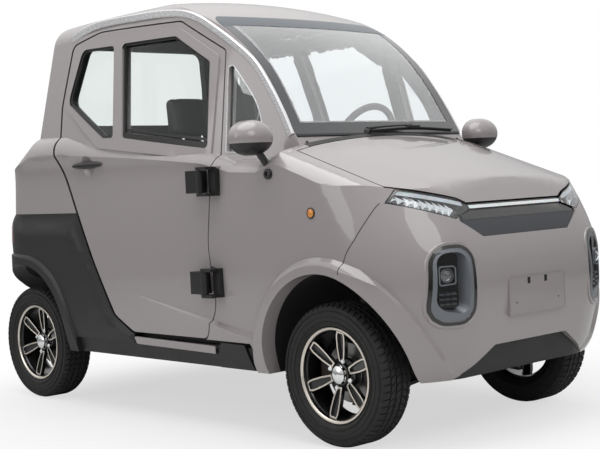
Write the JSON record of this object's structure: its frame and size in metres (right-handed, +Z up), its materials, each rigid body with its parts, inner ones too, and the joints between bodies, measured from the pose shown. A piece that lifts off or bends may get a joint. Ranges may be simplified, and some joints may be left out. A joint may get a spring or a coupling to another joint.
{
  "type": "two-door electric city car",
  "caption": "Small upright two-door battery car with hollow cabin, opening doors, hood and tailgate, steered front wheels, alloy wheels and black lower cladding.",
  "frame": {"origin": "on the ground, at the middle of the bounding box's length and width", "axes": "+X points forward, +Y to the car's left, +Z up"},
  "size_m": [2.6247, 1.4508, 1.6879],
  "materials": {
    "paint": "gloss",
    "paint_plastic": "gloss",
    "glass": "clear",
    "black_plastic": "satin",
    "bright_trim": "polished",
    "lamp_plastic": "clear gloss",
    "red_lens": "clear gloss",
    "steel_black": "semi-gloss",
    "cast": "as cast",
    "tyre": "matte",
    "alloy": "machined and black",
    "seat": "woven",
    "battery": "satin",
    "cabin_plastic": "grained",
    "gloss_black": "gloss",
    "wiper_black": "matte"
  },
  "bodies": {
    "car": {"roof_panel": "paint", "fixed_glass": "glass", "roof_rails": "bright_trim", "sills": "black_plastic", "rear_body": "paint", "fender_l": "paint", "fender_r": "paint", "rear_cladding": "black_plastic", "front_bumper": "paint_plastic", "headlamps": "lamp_plastic", "lamp_pods": "lamp_plastic", "grille_panels": "black_plastic", "tail_lamps": "red_lens", "floor_pan": "steel_black", "bulkhead": "steel_black", "arch_liners": "black_plastic", "chassis_frame": "steel_black", "front_suspension": "steel_black", "rear_axle": "cast", "front_seats": "seat", "rear_bench": "seat", "battery_pack": "battery", "dashboard": "cabin_plastic", "mirrors": "gloss_black", "wiper": "wiper_black"},
    "door_left": {"door_shell_l": "paint", "door_glass_l": "glass", "door_trim_l": "black_plastic"},
    "door_right": {"door_shell_r": "paint", "door_glass_r": "glass", "door_trim_r": "black_plastic"},
    "hood": {"hood_panel": "paint"},
    "tailgate": {"tailgate_shell": "paint", "tailgate_glass": "glass"},
    "knuckle_left": {"knuckle_l": "cast"},
    "knuckle_right": {"knuckle_r": "cast"},
    "steering_wheel": {"steering_wheel": "cabin_plastic"},
    "wheel_front_left": {"tyre_fl": "tyre", "rim_fl": "alloy"},
    "wheel_front_right": {"tyre_fr": "tyre", "rim_fr": "alloy"},
    "wheel_rear_left": {"tyre_rl": "tyre", "rim_rl": "alloy"},
    "wheel_rear_right": {"tyre_rr": "tyre", "rim_rr": "alloy"}
  },
  "joints": [
    {"name": "steer_right", "type": "hinge", "parent": "car", "child": "knuckle_right", "pos_m": [0.86, -0.46, 0.165], "axis": [0, 0.1918, 0.9814], "range_deg": [-28, 28]},
    {"name": "steer_left", "type": "hinge", "parent": "car", "child": "knuckle_left", "pos_m": [0.86, 0.46, 0.165], "axis": [0, -0.1918, 0.9814], "range_deg": [-28, 28]},
    {"name": "steering_wheel_turn", "type": "hinge", "parent": "car", "child": "steering_wheel", "pos_m": [0.318, 0.195, 1.062], "axis": [-0.9063, 0, 0.4226], "range_deg": [-448, 448]},
    {"name": "wheel_front_right_spin", "type": "hinge", "parent": "knuckle_right", "child": "wheel_front_right", "pos_m": [0.86, -0.512, 0.25], "axis": [0, 1, 0], "continuous": true},
    {"name": "wheel_front_left_spin", "type": "hinge", "parent": "knuckle_left", "child": "wheel_front_left", "pos_m": [0.86, 0.512, 0.25], "axis": [0, 1, 0], "continuous": true},
    {"name": "wheel_rear_right_spin", "type": "hinge", "parent": "car", "child": "wheel_rear_right", "pos_m": [-1.04, -0.512, 0.25], "axis": [0, 1, 0], "continuous": true},
    {"name": "wheel_rear_left_spin", "type": "hinge", "parent": "car", "child": "wheel_rear_left", "pos_m": [-1.04, 0.512, 0.25], "axis": [0, 1, 0], "continuous": true},
    {"name": "door_right_hinge", "type": "hinge", "parent": "car", "child": "door_right", "pos_m": [0.284, -0.655, 0.75], "axis": [0, 0, 1], "range_deg": [0, 65]},
    {"name": "door_left_hinge", "type": "hinge", "parent": "car", "child": "door_left", "pos_m": [0.284, 0.655, 0.75], "axis": [0, 0, -1], "range_deg": [0, 65]},
    {"name": "hood_hinge", "type": "hinge", "parent": "car", "child": "hood", "pos_m": [0.664, 0, 1.1], "axis": [0, -1, 0], "range_deg": [0, 50]},
    {"name": "tailgate_hinge", "type": "hinge", "parent": "car", "child": "tailgate", "pos_m": [-0.95, 0, 1.64], "axis": [0, 1, 0], "range_deg": [0, 75]}
  ],
  "couplings": [
    {"joint": "steer_left", "follows": "steer_right", "ratio": 1},
    {"joint": "steering_wheel_turn", "follows": "steer_right", "ratio": 16}
  ]
}
